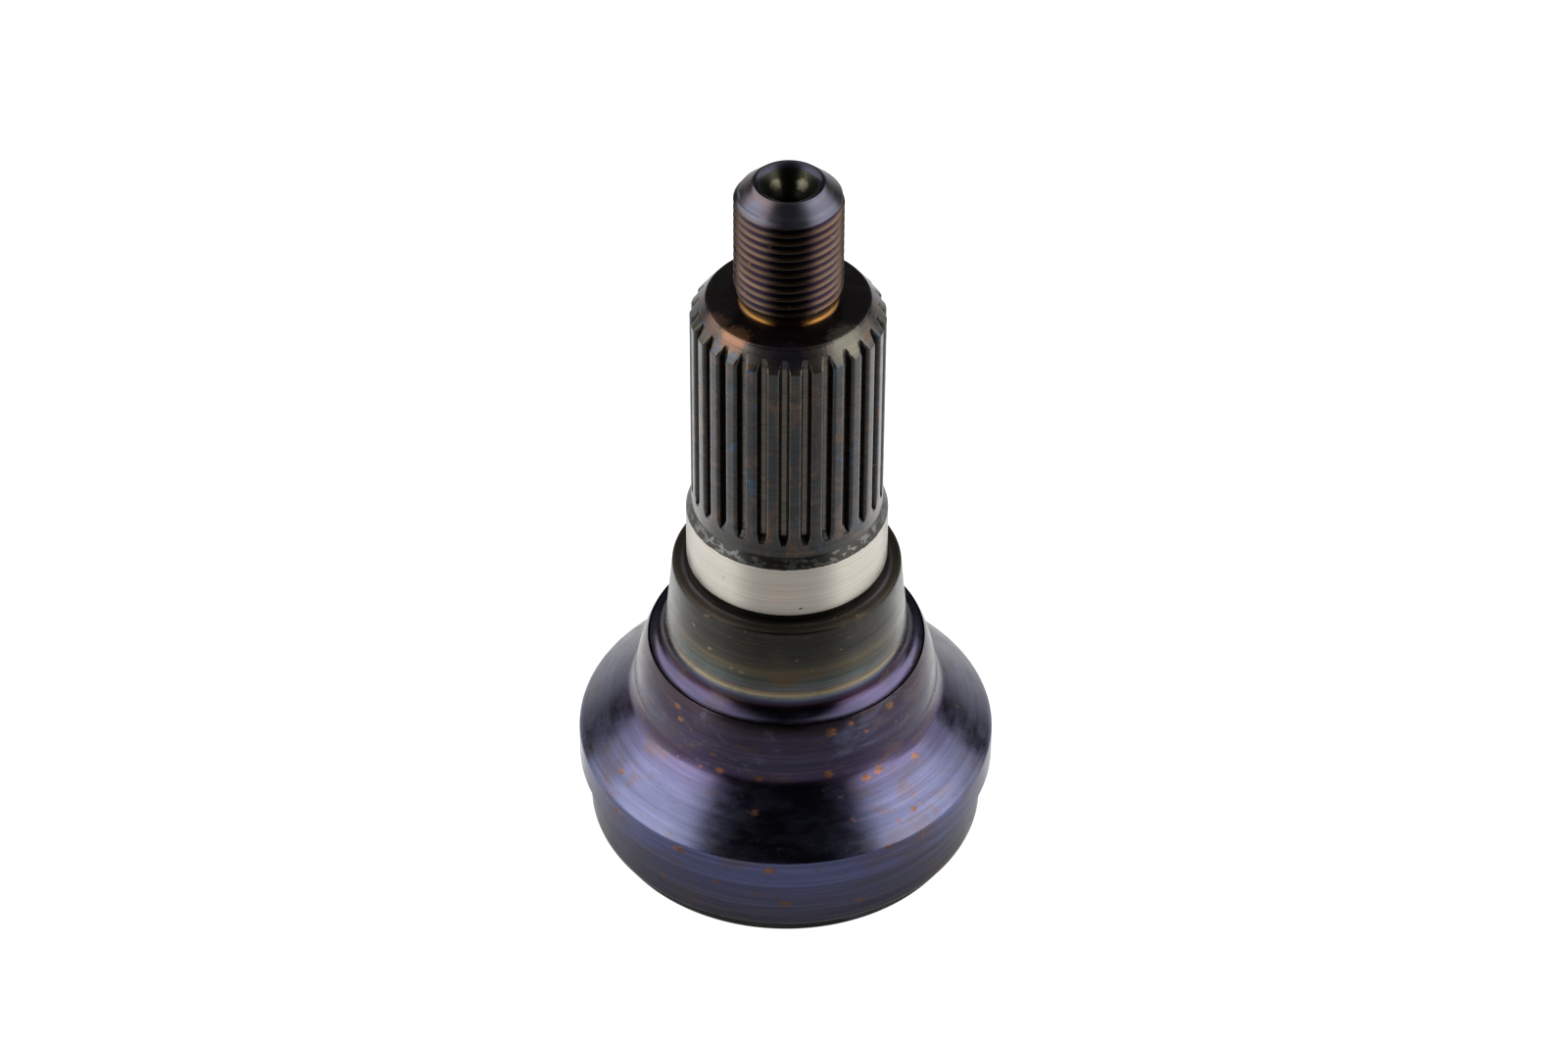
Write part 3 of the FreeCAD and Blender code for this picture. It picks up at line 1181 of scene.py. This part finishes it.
@dataclass
class ThreadedEnd:
    """Thread with its relief, nose chamfer and centre hole."""

    foot: float = 99.7
    relief_radius: float = 6.8
    relief_top: float = 101.2
    thread_foot: float = 102.3
    thread_top: float = 117.7
    radius: float = 7.9
    nose_radius: float = 5.1
    top: float = 120.3
    pitch: float = 1.411
    depth: float = 0.8
    crest_flat: float = 0.09
    root_ease: tuple[float, float] = (0.06, 0.12)
    trim_low: float = 101.25
    trim_high: float = 118.75
    fillet: tuple[tuple[float, float], ...] = ((0.0, 0.6), (0.06, 0.36), (0.18, 0.18),
                                               (0.36, 0.06), (0.6, 0.0))
    hole: tuple[tuple[float, float], ...] = ((4.9, 120.3), (4.2, 119.9), (1.8, 115.74),
                                             (1.8, 112.74), (0.0, 112.3))
    steps: int = 120

    def blank(self, height: float) -> float:
        """Radius of the unthreaded blank at a height in mm."""
        if height < self.thread_foot:
            share = (height - self.relief_top) / (self.thread_foot - self.relief_top)
            return self.relief_radius + (self.radius - self.relief_radius) * max(0.0, share)
        share = (height - self.thread_top) / (self.top - self.thread_top)
        return self.radius - (self.radius - self.nose_radius) * max(0.0, share)

    def cut_thread(self, turning: Turning) -> None:
        """Winds the thread and trims it to the blank.

        Args:
            turning: the mesh to wind it in.
        """
        mesh = turning.mesh
        start = self.relief_top - 1.5 * self.pitch
        half = self.pitch / 2
        root = self.radius - self.depth
        out, up = self.root_ease
        wire = [(root, 0.0), (root + out, up)]
        wire += [(root + out + (self.depth - 0.1) * s, up + (half - self.crest_flat - up) * s)
                 for s in (0.33, 0.67, 1.0)]
        wire += [(self.radius, half - self.crest_flat * 0.4), (self.radius, half)]
        wire += [(r, self.pitch - z) for r, z in reversed(wire[:-1])]
        verts = [mesh.verts.new((r, 0.0, start + z)) for r, z in wire]
        for pair in zip(verts, verts[1:]):
            mesh.edges.new(pair)
        turns = math.ceil((self.top - start) / self.pitch) + 1
        bmesh.ops.spin(mesh, geom=mesh.verts[:] + mesh.edges[:], cent=(0, 0, 0), axis=(0, 0, 1),
                       dvec=(0, 0, self.pitch / self.steps), angle=2 * math.pi,
                       steps=self.steps, use_merge=False, use_duplicate=False)
        turn = turning.everything()
        for number in range(1, turns):
            copy = bmesh.ops.duplicate(mesh, geom=turn)["geom"]
            bmesh.ops.translate(mesh, vec=(0, 0, number * self.pitch),
                                verts=[g for g in copy if isinstance(g, bmesh.types.BMVert)])
        bmesh.ops.remove_doubles(mesh, verts=mesh.verts[:], dist=2e-3)
        for vert in mesh.verts:
            flat = math.hypot(vert.co.x, vert.co.y)
            limit = self.blank(vert.co.z)
            if flat > limit:
                vert.co.x *= limit / flat
                vert.co.y *= limit / flat
        for height, side in ((self.trim_low, -1), (self.trim_high, 1)):
            bmesh.ops.bisect_plane(mesh, geom=turning.everything(), dist=1e-5, clear_outer=True,
                                   plane_co=(0, 0, height), plane_no=(0, 0, side))

    def build(self) -> bpy.types.Object:
        """Cuts the thread and grows relief, nose and hole from its two ends.

        Returns:
            The piece.
        """
        turning = Turning()
        self.cut_thread(turning)
        turning.grow(turning.rim(True), ((self.nose_radius + 0.05, self.top - 0.05),
                                         (self.nose_radius - 0.05, self.top), *self.hole), 0.5)
        fillet = ((self.relief_radius + out, self.foot + up) for out, up in self.fillet)
        turning.grow(turning.rim(False), ((self.relief_radius, self.relief_top), *fillet,
                                          (0.0, self.foot)), 0.5)
        piece = turning.place("thread_cutting", THREAD_SKIN.make())
        mount(piece, "threaded_end")
        return piece


# --- Studio -------------------------------------------------------------------

@dataclass(frozen=True)
class Panel:
    """A soft overhead panel, measured from the dark gap between the two sides.

    Attributes:
        name: the light's name.
        start: how far outside the gap's edge it begins, in m.
        width: its width away from the gap, in m.
        radiance: its brightness.
    """

    name: str
    start: float
    width: float
    radiance: float


@dataclass
class Studio:
    """Pale floor, soft panels overhead to the left and right, and the camera.

    Attributes:
        floor_size: side of the floor in m.
        floor_shade_tones: its greys in front of the shaft and to the sides; the darker grey in
            front is painted shade.
        tone_sides: x over y where the side tone starts and where it is full.
        tone_reach: distance from the axis in mm where it starts and where it is full.
        tone_ease: added to y in mm, so that the tone is even near the shaft.
        far_behind: distance in mm where the floor behind turns darker, start and end.
        far_more: how much darker it turns there.
        floor_glow: the floor's own light.
        panel_height: height of the overhead panels in m.
        panel_length: their length in m.
        panel_corner: x and y of the gap's edge where the panels start, in m.
        panel_turn: degrees that they are turned by.
        panels: the panels of one side.
        side_size: height and length of the panel beside the shaft, in m.
        side_place: its centre in m.
        side_radiance: its brightness.
        back_size: width and height of the panel behind, in m.
        back_place: its centre in m.
        back_radiance: its brightness.
        ambient: brightness of the room.
        lens: focal length in mm.
        eye: the camera's place in m.
        pitch: degrees that it is tilted up from straight down.
        roll: degrees that it is rolled.
    """

    floor_size: float = 16.0
    floor_shade_tones: tuple[float, float] = (0.1, 0.66)
    tone_sides: tuple[float, float] = (0.4, 1.5)
    tone_reach: tuple[float, float] = (32.0, 62.0)
    tone_ease: float = 10.0
    far_behind: tuple[float, float] = (130.0, 260.0)
    far_more: float = 1.5
    floor_glow: float = 0.96
    panel_height: float = 1.06
    panel_length: float = 5.0
    panel_corner: tuple[float, float] = (0.028, 0.406)
    panel_turn: float = 41.4
    panels: tuple[Panel, ...] = (Panel("fringe_low", -0.2, 0.1, 0.9),
                                 Panel("fringe_high", -0.1, 0.1, 2.6),
                                 Panel("panel_inner", 0.0, 0.25, 5.4),
                                 Panel("panel_outer", 0.25, 1.85, 6.8))
    side_size: tuple[float, float] = (0.47, 1.52)
    side_place: tuple[float, float, float] = (1.25, -0.14, 0.265)
    side_radiance: float = 3.4
    back_size: tuple[float, float] = (3.0, 1.6)
    back_place: tuple[float, float, float] = (0.0, 1.6, 1.4)
    back_radiance: float = 0.2
    ambient: float = 0.01
    lens: float = 113.4
    eye: tuple[float, float, float] = (-0.00044, -0.5563, 0.5361)
    pitch: float = 49.27
    roll: float = 0.33

    def lay_floor(self) -> bpy.types.Object:
        """Lays the floor, with painted shade: darker in front of, close to and far behind the
        shaft, paler to its left and right.

        Returns:
            The floor, marked as stage.
        """
        mesh = bmesh.new()
        bmesh.ops.create_grid(mesh, x_segments=1, y_segments=1, size=self.floor_size / 2)
        data = bpy.data.meshes.new("floor")
        mesh.to_mesh(data)
        mesh.free()
        bench = Bench("floor_paper")
        # painted shade on the floor, seen in the shaft's reflections: darker in front of, close to
        # and far behind the shaft
        behind = bench.y.larger(0.0) * bench.radius.rise(*self.far_behind) * self.far_more
        side = bench.x.size() / (bench.y.size() + behind + self.tone_ease)
        side = side.rise(*self.tone_sides) * bench.radius.rise(*self.tone_reach)
        low, high = self.floor_shade_tones
        data.materials.append(bench.finish(bench.mix(side, grey(low), grey(high)), 0.9, 0.0))
        bench.feed(bench.shader.inputs["Emission Color"], (1.0, 1.0, 1.0))
        bench.feed(bench.shader.inputs["Emission Strength"], self.floor_glow)
        bench.feed(bench.shader.inputs["Specular IOR Level"], 0.0)
        floor = bpy.data.objects.new("floor", data)
        bpy.context.scene.collection.objects.link(floor)
        return floor

    def hang_light(self, name: str, size: tuple[float, float], place: Sequence[float],
                   turn: tuple[float, float, float], radiance: float) -> None:
        """Hangs one rectangular light.

        Args:
            name: the light's name.
            size: width and length in m.
            place: its centre.
            turn: its rotation in radians.
            radiance: its brightness.
        """
        light = bpy.data.lights.new(name, "AREA")
        light.shape = "RECTANGLE"
        light.size, light.size_y = size
        light.energy = radiance * math.pi * size[0] * size[1]
        lamp = bpy.data.objects.new(name, light)
        lamp.location = place
        lamp.rotation_euler = turn
        bpy.context.scene.collection.objects.link(lamp)

    def hang_panels(self, side: int) -> None:
        """Hangs the panels of one side.

        Args:
            side: -1 for the left one, 1 for the right one.
        """
        hand = "left" if side < 0 else "right"
        x, y, z = self.side_place
        self.hang_light(f"side_{hand}", self.side_size, (side * x, y, z),
                        (0.0, side * math.pi / 2, 0.0), self.side_radiance)
        turn = math.radians(self.panel_turn)
        out = Vector((math.cos(turn), math.sin(turn)))
        front = Vector((math.sin(turn), -math.cos(turn)))
        for panel in self.panels:
            centre = (Vector(self.panel_corner) + out * (panel.start + panel.width / 2)
                      + front * self.panel_length / 2)
            self.hang_light(f"{panel.name}_{hand}", (panel.width, self.panel_length),
                            (side * centre.x, centre.y, self.panel_height),
                            (0.0, 0.0, side * turn), panel.radiance)

    def set_camera(self) -> None:
        """Sets the camera at the photograph's viewpoint."""
        data = bpy.data.cameras.new("camera")
        data.lens = self.lens
        data.sensor_width = 36.0
        data.clip_start, data.clip_end = 0.01, 50.0
        camera = bpy.data.objects.new("camera", data)
        turn = Matrix.Rotation(math.radians(self.pitch), 4, "X")
        turn = turn @ Matrix.Rotation(math.radians(self.roll), 4, "Z")
        camera.matrix_world = Matrix.Translation(self.eye) @ turn
        bpy.context.scene.collection.objects.link(camera)
        bpy.context.scene.camera = camera

    def build(self) -> None:
        """Sets up floor, light and camera."""
        world = bpy.data.worlds.new("dim_room")
        world.use_nodes = True
        backdrop = world.node_tree.nodes["Background"]
        backdrop.inputs["Color"].default_value = (1, 1, 1, 1)
        backdrop.inputs["Strength"].default_value = self.ambient
        scene = bpy.context.scene
        scene.world = world
        scene.view_settings.view_transform = "Standard"
        scene.view_settings.look = "None"
        self.lay_floor()
        for side in (-1, 1):
            self.hang_panels(side)
        self.hang_light("back_glow", self.back_size, self.back_place,
                        (-math.pi / 2, 0.0, 0.0), self.back_radiance)
        self.set_camera()


def main() -> None:
    """Builds the studio and every piece of the shaft."""
    logging.basicConfig(level=logging.INFO, format="%(message)s")
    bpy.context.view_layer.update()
    Studio().build()
    for maker in (TubeSeat(), FlaredBody(), StopCollar(), BearingJournal(), SplineSection(),
                  ThreadedEnd()):
        maker.build()
    bpy.context.view_layer.update()


if __name__ == "__main__":
    main()
